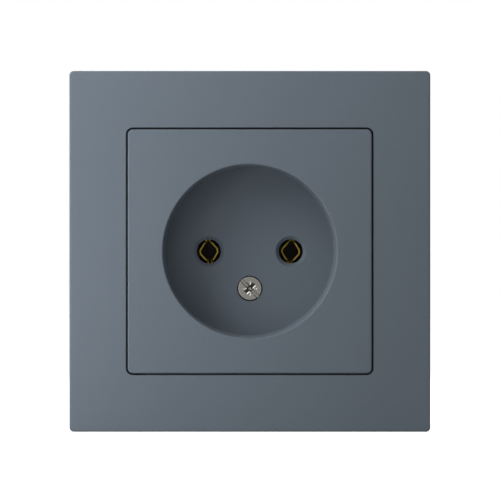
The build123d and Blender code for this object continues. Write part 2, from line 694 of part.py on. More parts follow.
        # Grooves underneath for the two wires
        groove_low_z = clamp_under_z + WIRE_GROOVE_DEPTH - WIRE_GROOVE_R
        with BuildSketch(facing_room(-terminal_y) * Pos(side * pin_x, groove_low_z, 0)):
            with GridLocations(2 * WIRE_GROOVE_X, 0, 2, 1):
                Circle(WIRE_GROOVE_R)
        extrude(amount=CLAMP_L, both=True, mode=Mode.SUBTRACT)
    save(clamp_plate.part, f"clamp_plate_{name}")

# Fixing claws: a forked web on the screw and two toothed cheeks that ride on the ramps
slope = tan(radians(CLAW_ANGLE))
claw_inside_x = base_side_x + CLAW_SIDE_GAP
claw_outside_x = claw_x + CLAW_REACH
claw_back = CLAW_REST + CLAW_T
ramp_offset_x = base_side_x + CLAW_RAMP_GAP / cos(radians(CLAW_ANGLE))
slope_start = RAMP_BACK - (claw_inside_x - ramp_offset_x) / slope
slope_end_x = ramp_offset_x + (RAMP_BACK - CLAW_FRONT) * slope
web_mid_x = (claw_inside_x + claw_outside_x) / 2
fork_r = CLAW_SCREW_D / 2 + THREAD_CLEARANCE

for name, side in SIDES.items():
    with BuildPart() as claw:
        for cheek_z in (cheek_inside_z, -cheek_outside_z):
            with BuildSketch(Plane.XY.offset(cheek_z)):
                outline = [(claw_inside_x, claw_back), (claw_inside_x, slope_start)]
                outline.append((slope_end_x, CLAW_FRONT))
                for tooth in range(TOOTH_COUNT):
                    tooth_y = CLAW_FRONT + tooth * TOOTH_PITCH
                    outline.append((claw_outside_x, tooth_y))
                    outline.append((claw_outside_x - TOOTH_DEPTH, tooth_y + TOOTH_PITCH))
                outline.append((claw_outside_x - TOOTH_DEPTH, claw_back))
                with BuildLine():
                    Polyline(*[(side * x, y) for x, y in outline], close=True)
                make_face()
            extrude(amount=CLAW_T)
        web_w = claw_outside_x - TOOTH_DEPTH - claw_inside_x
        with BuildSketch(facing_room(-CLAW_REST)):
            with Locations((side * (claw_inside_x + web_w / 2), 0)):
                Rectangle(web_w, 2 * cheek_outside_z)
            with Locations((side * claw_x, 0)):
                Circle(fork_r, mode=Mode.SUBTRACT)
            with Locations((side * (claw_x + claw_inside_x) / 2, 0)):
                Rectangle(claw_x - claw_inside_x, 2 * fork_r, mode=Mode.SUBTRACT)
        extrude(amount=-CLAW_T)
    save(claw.part, f"claw_{name}")

    claw_head_plane = facing_room(RING_T + CLAW_HEAD_H) * Pos(side * claw_x, 0, 0)
    claw_screw_end_out = -claw_back - CLAW_SCREW_TAIL
    with BuildPart() as claw_screw:
        with BuildSketch(claw_head_plane):
            Circle(CLAW_HEAD_D / 2)
        extrude(amount=-CLAW_HEAD_H)
        fillet(claw_screw.faces().sort_by(Axis.Y)[0].edges(), FACE_HEAD_EDGE_R)
        with BuildSketch(claw_head_plane):
            Circle(CLAW_SCREW_D / 2)
        extrude(amount=claw_screw_end_out - RING_T - CLAW_HEAD_H)
        # Upset end that keeps the claw from running off the screw
        with BuildSketch(facing_room(claw_screw_end_out) * Pos(side * claw_x, 0, 0)):
            Circle(CLAW_SCREW_D / 2 + UPSET_GROWTH)
        extrude(amount=UPSET_LENGTH)
        cut_drive(claw_head_plane, CLAW_HEAD_D, 0)
    save(claw_screw.part, f"claw_screw_{name}")

    spring_end = SPRING_WIRE_D / 2 + TOUCH_GAP
    spring_run = CLAW_REST - 2 * spring_end
    with BuildPart() as claw_spring:
        with BuildLine() as coil:
            Helix(
                pitch=spring_run / SPRING_TURNS,
                height=spring_run,
                radius=SPRING_D / 2,
                center=(side * claw_x, spring_end, 0),
                direction=(0, 1, 0),
            )
        with BuildSketch(Plane(origin=coil.line @ 0, z_dir=coil.line % 0)):
            Circle(SPRING_WIRE_D / 2)
        sweep(path=coil.line, is_frenet=True)
    save(claw_spring.part, f"claw_spring_{name}")
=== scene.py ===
"""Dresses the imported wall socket: finishes, threaded screws, coil springs, studio and camera.

The frame: +Y points into the wall, +X to the right and +Z up, in metres. The socket's front faces -Y.
"""
import json
import logging
import math
from dataclasses import dataclass, field
from enum import Enum
from typing import Any

import bmesh
import bpy
from mathutils import Matrix, Vector


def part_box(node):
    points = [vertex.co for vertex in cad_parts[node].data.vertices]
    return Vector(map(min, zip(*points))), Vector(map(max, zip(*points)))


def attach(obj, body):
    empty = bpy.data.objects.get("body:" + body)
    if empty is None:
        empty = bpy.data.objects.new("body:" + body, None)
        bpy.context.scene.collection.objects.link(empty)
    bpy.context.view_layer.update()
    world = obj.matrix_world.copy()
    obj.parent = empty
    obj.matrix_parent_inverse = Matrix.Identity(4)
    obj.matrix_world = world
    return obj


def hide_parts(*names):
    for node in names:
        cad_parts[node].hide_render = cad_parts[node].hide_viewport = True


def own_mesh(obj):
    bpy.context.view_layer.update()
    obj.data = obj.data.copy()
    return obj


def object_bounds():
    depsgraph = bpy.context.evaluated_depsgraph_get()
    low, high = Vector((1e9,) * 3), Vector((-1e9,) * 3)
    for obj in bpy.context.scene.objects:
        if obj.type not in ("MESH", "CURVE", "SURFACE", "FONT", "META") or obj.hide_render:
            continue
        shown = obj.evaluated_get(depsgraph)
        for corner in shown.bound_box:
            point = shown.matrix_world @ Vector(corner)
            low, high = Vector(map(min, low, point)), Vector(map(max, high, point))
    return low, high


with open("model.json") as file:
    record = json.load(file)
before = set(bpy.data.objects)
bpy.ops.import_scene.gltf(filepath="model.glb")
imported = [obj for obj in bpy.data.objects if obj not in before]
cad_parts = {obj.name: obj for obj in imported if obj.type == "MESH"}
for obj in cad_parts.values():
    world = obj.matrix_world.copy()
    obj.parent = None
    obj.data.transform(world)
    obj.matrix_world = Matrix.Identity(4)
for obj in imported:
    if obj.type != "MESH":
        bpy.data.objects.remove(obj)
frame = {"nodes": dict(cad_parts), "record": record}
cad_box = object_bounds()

log = logging.getLogger("wall_socket")

MM = 0.001
MICRON = 1e-6
MERGE_DISTANCE = 0.1 * MICRON
INTO_WALL = Vector((0, 1, 0))
DOWN = Vector((0, 0, -1))
WHITE = (1.0, 1.0, 1.0, 1.0)

Colour = tuple[float, float, float]
Point = tuple[float, float, float]
Span = tuple[float, float]
Feed = Any  # a plain value for a socket, or another node's output to link to it


class Slot(Enum):
    """The record's material slots."""

    SLATE = "slate_plastic"
    BLACK = "black_plastic"
    BRASS = "contact_brass"
    ZINC = "zinc_steel"
    SCREW = "screw_steel"
    SPRING = "spring_steel"


class Side(Enum):
    """The two sides of the socket, seen from the room."""

    LEFT = -1
    RIGHT = 1

    def named(self, stem: str) -> str:
        """A node's, body's or joint's name on this side."""
        return f"{stem}_{self.name.lower()}"


class Bench:
    """Adds nodes to one tree and links them."""

    # A Mix node of colours hides its other sockets, which still count in the numbers of these.
    MIX_FACTOR = 0
    MIX_FIRST = 6
    MIX_SECOND = 7
    MIX_RESULT = 2

    def __init__(self, tree: bpy.types.NodeTree) -> None:
        """Keeps the tree that the nodes go into."""
        self.tree = tree

    def feed(self, socket: bpy.types.NodeSocket, value: Feed) -> None:
        """Links a node's output to an input socket, or writes a plain value on it.

        Args:
            socket: the input socket.
            value: the output or the plain value.
        """
        if isinstance(value, bpy.types.NodeSocket):
            self.tree.links.new(value, socket)
        else:
            socket.default_value = value

    def add(self, kind: str, inputs: dict[str | int, Feed] | None = None, **settings: Any) -> bpy.types.Node:
        """Adds one node.

        Args:
            kind: the node's Blender type.
            inputs: what feeds each named or numbered input.
            settings: the node's own properties.

        Returns:
            The new node.
        """
        node = self.tree.nodes.new(kind)
        for key, value in settings.items():
            setattr(node, key, value)
        for key, value in (inputs or {}).items():
            self.feed(node.inputs[key], value)
        return node

    def math(self, operation: str, *values: Feed) -> bpy.types.NodeSocket:
        """Adds a Math node.

        Args:
            operation: what the node works out.
            values: what feeds its inputs, in order.

        Returns:
            The node's result.
        """
        return self.add("ShaderNodeMath", dict(enumerate(values)), operation=operation).outputs[0]

    def remap(self, value: Feed, low: Feed, high: Feed, to_low: Feed, to_high: Feed) -> bpy.types.NodeSocket:
        """Maps a value from one span to another, clamped.

        Args:
            value: the value.
            low: where its span starts.
            high: where its span ends.
            to_low: what the start becomes.
            to_high: what the end becomes.

        Returns:
            The mapped value.
        """
        inputs = {"Value": value, "From Min": low, "From Max": high, "To Min": to_low, "To Max": to_high}
        return self.add("ShaderNodeMapRange", inputs).outputs["Result"]

    def blend(self, factor: Feed, first: Colour, second: Colour) -> bpy.types.NodeSocket:
        """Mixes two colours.

        Args:
            factor: 0 for the first colour, 1 for the second.
            first: the first colour.
            second: the second colour.

        Returns:
            The mixed colour.
        """
        inputs = {self.MIX_FACTOR: factor, self.MIX_FIRST: (*first, 1.0), self.MIX_SECOND: (*second, 1.0)}
        return self.add("ShaderNodeMix", inputs, data_type="RGBA").outputs[self.MIX_RESULT]


class EffectGroup(Bench):
    """A shader node group that works on a piece's own Object coordinates."""

    def __init__(self, name: str, sizes: dict[str, float], results: tuple[str, ...]) -> None:
        """Starts the group.

        Args:
            name: the group's name.
            sizes: the float inputs' names and defaults.
            results: the float outputs' names.
        """
        super().__init__(bpy.data.node_groups.new(name, "ShaderNodeTree"))
        face = self.tree.interface
        for label, default in sizes.items():
            face.new_socket(label, in_out="INPUT", socket_type="NodeSocketFloat").default_value = default
        for label in results:
            face.new_socket(label, in_out="OUTPUT", socket_type="NodeSocketFloat")
        self.given = self.add("NodeGroupInput").outputs
        self.results = self.add("NodeGroupOutput").inputs
        self.place = self.add("ShaderNodeTexCoord").outputs["Object"]

    def noise(self, place: Feed, per_metre: Feed, detail: float, **more: float) -> bpy.types.NodeSocket:
        """Adds a noise over the surface.

        Args:
            place: the coordinates that it reads.
            per_metre: how many of its waves go into a metre.
            detail: how many finer noises lie on it.
            more: other inputs of the Noise node, by name.

        Returns:
            The noise, about 0.5 in the mean.
        """
        inputs = {"Vector": place, "Scale": per_metre, "Detail": detail, **more}
        return self.add("ShaderNodeTexNoise", inputs).outputs[0]


class Effects:
    """The effects that several finishes share, each built once as a node group."""

    # Grain: the pits' scale against it, the span of distances that they fill, and their depth.
    GRAIN_ROUGHNESS = 0.55
    PIT_SCALE = 0.8
    PIT_SPAN: Span = (0.15, 0.75)
    PIT_DEPTH = 0.35
    # Drift and lines: the span of the noise that counts, and the lines' squeeze along X.
    DRIFT_ROUGHNESS = 0.6
    DRIFT_SPAN: Span = (0.3, 0.7)
    LINE_ROUGHNESS = 0.6
    LINE_SPAN: Span = (0.25, 0.75)
    LINE_STRETCH: Point = (0.03, 1.0, 1.0)
    # Bloom: where it starts at an amount of 0, how much an amount of 1 lowers that, and its rim's width.
    BLOT_ROUGHNESS = 0.65
    BLOT_DISTORTION = 0.4
    SPECK_SCALE = 9.0
    SPECK_SHARE = 0.3
    BLOOM_START = 0.85
    BLOOM_GAIN = 0.6
    BLOOM_RIM = 0.3

    def __init__(self) -> None:
        """Builds every group."""
        self.grain = self._grain()
        self.drift = self._drift()
        self.rolling = self._rolling()
        self.bloom = self._bloom()

    def _grain(self) -> bpy.types.NodeTree:
        """Spark-eroded mould grain.

        Returns:
            A group with a fine height, and a mask of the pits in it.
        """
        group = EffectGroup("mould_grain", {"Per metre": 5000.0}, ("Height", "Pits"))
        per_metre = group.given["Per metre"]
        height = group.noise(group.place, per_metre, detail=3.0, Roughness=self.GRAIN_ROUGHNESS)
        cells = {"Vector": group.place, "Scale": group.math("MULTIPLY", per_metre, self.PIT_SCALE)}
        distance = group.add("ShaderNodeTexVoronoi", cells, feature="SMOOTH_F1").outputs["Distance"]
        pits = group.remap(distance, *self.PIT_SPAN, 1.0, 0.0)
        sunk = group.math("SUBTRACT", height, group.math("MULTIPLY", pits, self.PIT_DEPTH))
        group.feed(group.results["Height"], sunk)
        group.feed(group.results["Pits"], pits)
        return group.tree

    def _drift(self) -> bpy.types.NodeTree:
        """Slow cloudiness of a colour or a gloss over a few centimetres.

        Returns:
            A group with the drift, from 0 to 1.
        """
        group = EffectGroup("slow_drift", {"Per metre": 45.0}, ("Drift",))
        per_metre = group.given["Per metre"]
        noise = group.noise(group.place, per_metre, detail=4.0, Roughness=self.DRIFT_ROUGHNESS)
        group.feed(group.results["Drift"], group.remap(noise, *self.DRIFT_SPAN, 0.0, 1.0))
        return group.tree

    def _rolling(self) -> bpy.types.NodeTree:
        """Lines that rolling or drawing leaves along X on metal.

        Returns:
            A group with the lines as a streak from 0 to 1, and as a height.
        """
        group = EffectGroup("rolling_lines", {"Per metre": 9000.0}, ("Streak", "Height"))
        stretch = group.add("ShaderNodeMapping", {"Vector": group.place, "Scale": self.LINE_STRETCH})
        per_metre = group.given["Per metre"]
        noise = group.noise(stretch.outputs[0], per_metre, detail=2.0, Roughness=self.LINE_ROUGHNESS)
        group.feed(group.results["Streak"], group.remap(noise, *self.LINE_SPAN, 0.0, 1.0))
        group.feed(group.results["Height"], noise)
        return group.tree

    def _bloom(self) -> bpy.types.NodeTree:
        """Plating bloom and tarnish: soft blotches with finer specks at their rims.

        Returns:
            A group with the bloom, from 0 to 1.
        """
        group = EffectGroup("plating_bloom", {"Per metre": 400.0, "Amount": 0.5}, ("Bloom",))
        per_metre, amount = group.given["Per metre"], group.given["Amount"]
        rough = {"Roughness": self.BLOT_ROUGHNESS, "Distortion": self.BLOT_DISTORTION}
        blot = group.noise(group.place, per_metre, detail=5.0, **rough)
        finer = group.math("MULTIPLY", per_metre, self.SPECK_SCALE)
        speck = group.noise(group.place, finer, detail=2.0)
        centred = group.math("SUBTRACT", speck, 0.5)
        edge = group.math("ADD", blot, group.math("MULTIPLY", centred, self.SPECK_SHARE))
        start = group.math("SUBTRACT", self.BLOOM_START, group.math("MULTIPLY", amount, self.BLOOM_GAIN))
        end = group.math("ADD", start, self.BLOOM_RIM)
        group.feed(group.results["Bloom"], group.remap(edge, start, end, 0.0, 1.0))
        return group.tree


@dataclass(frozen=True)
class Finish:
    """A surface that is made as one Principled material."""

    name: str

    def start(self) -> tuple[bpy.types.Material, Bench, bpy.types.Node]:
        """Makes the material with its Principled shader and nothing else.

        Returns:
            The material, a bench on its tree and the Principled node.
        """
        material = bpy.data.materials.new(self.name)
        material.use_nodes = True
        tree = material.node_tree
        tree.nodes.clear()
        bench = Bench(tree)
        shader = bench.add("ShaderNodeBsdfPrincipled")
        bench.add("ShaderNodeOutputMaterial", {"Surface": shader.outputs[0]})
        return material, bench, shader

    @staticmethod
    def effect(bench: Bench, group: bpy.types.NodeTree, **values: float) -> bpy.types.bpy_prop_collection:
        """Places one shared effect.

        Args:
            bench: the bench of the material's tree.
            group: the effect's node group.
            values: the group's inputs; an underscore stands for a space.

        Returns:
            The outputs of the group's node.
        """
        inputs = {key.replace("_", " "): value for key, value in values.items()}
        return bench.add("ShaderNodeGroup", inputs, node_tree=group).outputs

    @staticmethod
    def emboss(bench: Bench, shader: bpy.types.Node, height: bpy.types.NodeSocket, depth: float) -> None:
        """Gives the shader's normal a bump.

        Args:
            bench: the bench of the material's tree.
            shader: the Principled node.
            height: the height over the surface, from 0 to 1.
            depth: what a height of 1 stands for, in metres.
        """
        bump = bench.add("ShaderNodeBump", {"Height": height, "Distance": depth})
        bench.feed(shader.inputs["Normal"], bump.outputs[0])


@dataclass(frozen=True)
class MouldedPlastic(Finish):
    """Matte moulded plastic with spark-eroded grain, and painted shade in the grain's pits."""

    colour: Colour = (0.1, 0.1, 0.1)
    # The colour painted into the grain's pits as shade.
    painted_pit_shade_colour: Colour = (0.08, 0.08, 0.08)
    roughness: Span = (0.5, 0.6)
    gloss: float = 0.4
    grain_per_metre: float = 5000.0
    grain_height: float = 8 * MICRON
    drift_per_metre: float = 45.0
    # How much of the painted pit shade shows, from low drift to high drift.
    pit_shade: Span = (0.5, 0.9)

    def make(self, effects: Effects) -> bpy.types.Material:
        """Builds the material: grain bump, painted shade in the pits, slow drift in the gloss and in how
        dark the pits are painted.

        Args:
            effects: the shared node groups.

        Returns:
            The material.
        """
        material, bench, shader = self.start()
        grain = self.effect(bench, effects.grain, Per_metre=self.grain_per_metre)
        drift = self.effect(bench, effects.drift, Per_metre=self.drift_per_metre)["Drift"]
        # Painted shade: the grain's pits are darkened towards the pit shade colour, more where the drift is
        # high.
        shade = bench.math("MULTIPLY", grain["Pits"], bench.remap(drift, 0.0, 1.0, *self.pit_shade))
        bench.feed(shader.inputs["Base Color"], bench.blend(shade, self.colour, self.painted_pit_shade_colour))
        bench.feed(shader.inputs["Roughness"], bench.remap(drift, 0.0, 1.0, *self.roughness))
        bench.feed(shader.inputs["Specular IOR Level"], self.gloss)
        self.emboss(bench, shader, grain["Height"], self.grain_height)
        return material


@dataclass(frozen=True)
class WorkedMetal(Finish):
    """Rolled, drawn or plated metal with bloom or tarnish."""

    colour: Colour = (0.5, 0.5, 0.5)
    bloom_colour: Colour = (0.4, 0.4, 0.4)
    roughness: Span = (0.3, 0.45)
    lines_per_metre: float = 9000.0
    line_height: float = 2 * MICRON
    line_dullness: float = 0.35
    bloom_per_metre: float = 400.0
    bloom_amount: float = 0.5

    def make(self, effects: Effects) -> bpy.types.Material:
        """Builds the material: rolling lines in bump and gloss, bloom in colour and gloss.

        Args:
            effects: the shared node groups.

        Returns:
            The material.
        """
        material, bench, shader = self.start()
        lines = self.effect(bench, effects.rolling, Per_metre=self.lines_per_metre)
        blotches = {"Per_metre": self.bloom_per_metre, "Amount": self.bloom_amount}
        bloom = self.effect(bench, effects.bloom, **blotches)["Bloom"]
        streaked = bench.math("MULTIPLY", lines["Streak"], self.line_dullness)
        dullness = bench.math("MAXIMUM", bloom, streaked)
        bench.feed(shader.inputs["Base Color"], bench.blend(bloom, self.colour, self.bloom_colour))
        bench.feed(shader.inputs["Roughness"], bench.remap(dullness, 0.0, 1.0, *self.roughness))
        bench.feed(shader.inputs["Metallic"], 1.0)
        self.emboss(bench, shader, lines["Height"], self.line_height)
        return material


FINISHES: dict[Slot, Finish] = {
    Slot.SLATE: MouldedPlastic(
        "slate_plastic_matte",
        colour=(0.1086, 0.1303, 0.1542),
        # The second colour is painted shade in the grain's pits.
        painted_pit_shade_colour=(0.1, 0.12, 0.143),
        roughness=(0.52, 0.58),
        gloss=0.08,
    ),
    Slot.BLACK: MouldedPlastic(
        "black_plastic_satin",
        colour=(0.024, 0.024, 0.026),
        # The second colour is painted shade in the grain's pits.
        painted_pit_shade_colour=(0.016, 0.016, 0.018),
        roughness=(0.38, 0.5),
        gloss=0.5,
        grain_per_metre=8000.0,
        grain_height=4 * MICRON,
    ),
    Slot.BRASS: WorkedMetal(
        "contact_brass_sheet",
        colour=(0.3, 0.214, 0.039),
        bloom_colour=(0.18, 0.114, 0.014),
        roughness=(0.5, 0.65),
        bloom_amount=0.55,
    ),
    Slot.ZINC: WorkedMetal(
        "zinc_plated_sheet",
        colour=(0.4, 0.41, 0.42),
        bloom_colour=(0.3, 0.31, 0.32),
        roughness=(0.48, 0.64),
        bloom_per_metre=250.0,
    ),
    Slot.SCREW: WorkedMetal(
        "zinc_plated_screw",
        colour=(0.178, 0.174, 0.157),
        bloom_colour=(0.158, 0.154, 0.139),
        roughness=(0.24, 0.34),
        line_height=0.15 * MICRON,
        bloom_per_metre=700.0,
        bloom_amount=0.3,
    ),
    Slot.SPRING: WorkedMetal(
        "spring_steel_black",
        colour=(0.045, 0.045, 0.048),
        bloom_colour=(0.03, 0.03, 0.032),
        roughness=(0.5, 0.65),
        bloom_per_metre=900.0,
        bloom_amount=0.35,
    ),
}


def evaluated(holder: bpy.types.Object) -> bpy.types.Mesh:
    """Turns an object with modifiers into a plain mesh.

    Args:
        holder: the object, which is removed.

    Returns:
        The mesh, with no modifier left.
    """
    bpy.context.view_layer.update()
    made = bpy.data.meshes.new_from_object(holder.evaluated_get(bpy.context.evaluated_depsgraph_get()))
    bpy.data.objects.remove(holder)
    return made


def shaded(mesh: bpy.types.Mesh, sharp_degrees: float) -> bpy.types.Mesh:
    """Shades a mesh smooth, with its flat faces kept flat.

    Args:
        mesh: the mesh, which is used up.
        sharp_degrees: edges that turn by more than this stay sharp.

    Returns:
        The mesh with normals weighted by the faces' areas.
    """
    name = mesh.name
    mesh.polygons.foreach_set("use_smooth", [True] * len(mesh.polygons))
    mesh.set_sharp_from_angle(angle=math.radians(sharp_degrees))
    holder = bpy.data.objects.new(name, mesh)
    bpy.context.scene.collection.objects.link(holder)
    holder.modifiers.new("weighted", "WEIGHTED_NORMAL").keep_sharp = True
    made = evaluated(holder)
    bpy.data.meshes.remove(mesh)
    made.name = name
    return made


def standing(start: Vector, axis: Vector) -> Matrix:
    """Where a mesh that was built along +Z goes.

    Args:
        start: where its origin goes.
        axis: the way that its +Z turns to.

    Returns:
        The matrix that moves it there.
    """
    return Matrix.Translation(start) @ axis.to_track_quat("Z", "X").to_matrix().to_4x4()


def piece_from(mesh: bpy.types.Mesh, name: str, body: str, slot: Slot, *nodes: str) -> bpy.types.Object:
    """Makes a finished piece that stands for CAD nodes.

    Args:
        mesh: the piece's mesh, in its place.
        name: the piece's name.
        body: the CAD body that it rides on.
        slot: not used.
        nodes: the CAD nodes that it replaces.

    Returns:
        The piece's object.
    """
    piece = bpy.data.objects.new(name, mesh)
    bpy.context.scene.collection.objects.link(piece)
    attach(piece, body)
    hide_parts(*nodes)
    log.info("piece %s: %d faces, on %s", name, len(mesh.polygons), body)
    return piece


class Recipe(Bench):
    """A Geometry Nodes tree with named inputs, whose result becomes a plain mesh."""

    def __init__(self, name: str, sizes: dict[str, float], counts: dict[str, int]) -> None:
        """Starts the tree.

        Args:
            name: the tree's name.
            sizes: the float inputs' names and defaults.
            counts: the whole-number inputs' names and defaults.
        """
        super().__init__(bpy.data.node_groups.new(name, "GeometryNodeTree"))
        face = self.tree.interface
        for kind, rows in (("NodeSocketFloat", sizes), ("NodeSocketInt", counts)):
            for label, default in rows.items():
                face.new_socket(label, in_out="INPUT", socket_type=kind).default_value = default
        face.new_socket("Material", in_out="INPUT", socket_type="NodeSocketMaterial")
        face.new_socket("Geometry", in_out="OUTPUT", socket_type="NodeSocketGeometry")
        self.given = self.add("NodeGroupInput").outputs

    def close(self, geometry: bpy.types.NodeSocket) -> None:
        """Ends the tree: instances realized, material set.

        Args:
            geometry: the tree's finished geometry.
        """
        real = self.add("GeometryNodeRealizeInstances", {"Geometry": geometry})
        inputs = {"Geometry": real.outputs[0], "Material": self.given["Material"]}
        dressed = self.add("GeometryNodeSetMaterial", inputs)
        self.add("NodeGroupOutput", {"Geometry": dressed.outputs[0]})

    def mesh(self, name: str, material: bpy.types.Material, **values: float) -> bpy.types.Mesh:
        """Runs the tree once.

        Args:
            name: the new mesh's name.
            material: the material that the tree sets.
            values: the tree's inputs; an underscore stands for a space.

        Returns:
            A plain mesh, with no modifier left.
        """
        holder = bpy.data.objects.new(name, bpy.data.meshes.new(name))
        bpy.context.scene.collection.objects.link(holder)
        modifier = holder.modifiers.new("recipe", "NODES")
        modifier.node_group = self.tree
        wanted = {key.replace("_", " "): value for key, value in values.items()} | {"Material": material}
        for item in self.tree.interface.items_tree:
            if item.in_out == "INPUT" and item.name in wanted:
                modifier[item.identifier] = wanted[item.name]
        made = evaluated(holder)
        made.name = name
        return made


class ThreadRecipe(Recipe):
    """A threaded shank about +Z from 0 to its length: a cylinder whose skin follows a helix."""

    FLANK: Span = (0.12, 0.88)

    def __init__(self) -> None:
        """Builds the tree."""
        sizes = {
            "Crest radius": 1.5 * MM,
            "Core radius": 1.2 * MM,
            "Pitch": 0.5 * MM,
            "Length": 10 * MM,
            "Tip share": 0.0,
        }
        super().__init__("threaded_shank", sizes, {"Facets": 24, "Rings": 320})
        crest, core = self.given["Crest radius"], self.given["Core radius"]
        bar = {
            "Vertices": self.given["Facets"],
            "Side Segments": self.given["Rings"],
            "Radius": crest,
            "Depth": self.given["Length"],
        }
        body = self.add("GeometryNodeMeshCylinder", bar)
        spot = self.add("GeometryNodeInputPosition").outputs[0]
        place = self.add("ShaderNodeSeparateXYZ", {0: spot}).outputs
        half = self.math("MULTIPLY", self.given["Length"], 0.5)
        risen = self.math("ADD", half, place["Z"])
        share = self._share(self._ridge(place), risen, self.math("SUBTRACT", half, place["Z"]))
        radius = self.math("MULTIPLY_ADD", self.math("SUBTRACT", crest, core), share, core)
        drawn_in = self.math("DIVIDE", radius, crest)
        moved = {
            "X": self.math("MULTIPLY", place["X"], drawn_in),
            "Y": self.math("MULTIPLY", place["Y"], drawn_in),
            "Z": risen,
        }
        new_spot = self.add("ShaderNodeCombineXYZ", moved).outputs[0]
        skin = {"Geometry": body.outputs["Mesh"], "Position": new_spot}
        self.close(self.add("GeometryNodeSetPosition", skin).outputs[0])

    def _ridge(self, place: bpy.types.bpy_prop_collection) -> bpy.types.NodeSocket:
        """The helix.

        Args:
            place: X, Y and Z of a point on the bar.

        Returns:
            0 at the thread's root, 1 at its crest.
        """
        turn = self.math("DIVIDE", self.math("ARCTAN2", place["Y"], place["X"]), math.tau)
        rise = self.math("DIVIDE", place["Z"], self.given["Pitch"])
        phase = self.math("FRACT", self.math("SUBTRACT", rise, turn))
        flank = self.math("ABSOLUTE", self.math("SUBTRACT", self.math("MULTIPLY", phase, 2.0), 1.0))
        return self.remap(flank, *self.FLANK, 0.0, 1.0)

    def _share(self, ridge: Feed, risen: Feed, left: Feed) -> bpy.types.NodeSocket:
        """The thread with its ends: a full neck at the start, and the tip's own radius at the end.

        Args:
            ridge: the helix, from 0 to 1.
            risen: how far a point is from the start.
            left: how far it is from the end.

        Returns:
            How far a point stands out, 0 at the core and 1 at the crest.
        """
        pitch = self.given["Pitch"]
        necked = self.math("MAXIMUM", ridge, self.remap(risen, 0.0, pitch, 1.0, 0.0))
        inner = self.remap(left, 0.0, pitch, 0.0, 1.0)
        tipped = self.math("MULTIPLY", self.given["Tip share"], self.math("SUBTRACT", 1.0, inner))
        return self.math("MULTIPLY_ADD", necked, inner, tipped)


class CoilRecipe(Recipe):
    """A coil spring about +Z with closed end turns, its centreline from 0 to its length."""

    def __init__(self) -> None:
        """Builds the tree."""
        sizes = {
            "Coil radius": 2.3 * MM,
            "Wire radius": 0.25 * MM,
            "Length": 18 * MM,
            "Turns": 8.0,
            "End turns": 1.0,
        }
        super().__init__("coil_spring", sizes, {"Steps": 240, "Facets": 12})
        coil_radius, wire_radius = self.given["Coil radius"], self.given["Wire radius"]
        line = self.add("GeometryNodeCurvePrimitiveLine").outputs[0]
        evenly = {"Curve": line, "Count": self.given["Steps"]}
        steps = self.add("GeometryNodeResampleCurve", evenly).outputs[0]
        along = self.add("GeometryNodeSplineParameter").outputs["Factor"]
        angle = self.math("MULTIPLY", self.math("MULTIPLY", along, self.given["Turns"]), math.tau)
        centreline = {
            "X": self.math("MULTIPLY", self.math("COSINE", angle), coil_radius),
            "Y": self.math("MULTIPLY", self.math("SINE", angle), coil_radius),
            "Z": self._rise(along),
        }
        spot = self.add("ShaderNodeCombineXYZ", centreline).outputs[0]
        coil = self.add("GeometryNodeSetPosition", {"Geometry": steps, "Position": spot}).outputs[0]
        round_wire = {"Resolution": self.given["Facets"], "Radius": wire_radius}
        profile = self.add("GeometryNodeCurvePrimitiveCircle", round_wire).outputs[0]
        swept = {"Curve": coil, "Profile Curve": profile, "Fill Caps": True}
        self.close(self.add("GeometryNodeCurveToMesh", swept).outputs[0])

    def _rise(self, along: Feed) -> bpy.types.NodeSocket:
        """The coil's climb: a wire's thickness for each closed end turn, and evenly between them.

        Args:
            along: a point's share of the wire's length.

        Returns:
            The point's height.
        """
        ends = self.given["End turns"]
        dead = self.math("DIVIDE", ends, self.given["Turns"])
        live = self.math("SUBTRACT", 1.0, dead)
        dead_rise = self.math("MULTIPLY", self.math("MULTIPLY", self.given["Wire radius"], 2.0), ends)
        live_rise = self.math("SUBTRACT", self.given["Length"], self.math("MULTIPLY", dead_rise, 2.0))
        first = self.remap(along, 0.0, dead, 0.0, dead_rise)
        middle = self.remap(along, dead, live, 0.0, live_rise)
        last = self.remap(along, live, 1.0, 0.0, dead_rise)
        return self.math("ADD", self.math("ADD", first, middle), last)


@dataclass
class Workshop:
    """What the sub-assemblies share: materials by slot, and the two recipes."""

    materials: dict[Slot, bpy.types.Material]
    threads: ThreadRecipe
    coils: CoilRecipe

    def dress(self, *nodes: str) -> None:
        """Gives CAD nodes the material of their slot in the record.

        Args:
            nodes: the nodes' names.
        """
        slots = {row["node"]: Slot(row["material_slot"]) for row in frame["record"]["subparts"]}
        for node in nodes:
            frame["nodes"][node].material_slots[0].material = self.materials[slots[node]]
            log.info("node %s: %s", node, slots[node].value)


@dataclass(frozen=True)
class ThreadSize:
    """A metric thread."""

    radius: float
    depth: float
    pitch: float


M3 = ThreadSize(1.5 * MM, 0.27 * MM, 0.5 * MM)
M3_5 = ThreadSize(1.75 * MM, 0.32 * MM, 0.6 * MM)


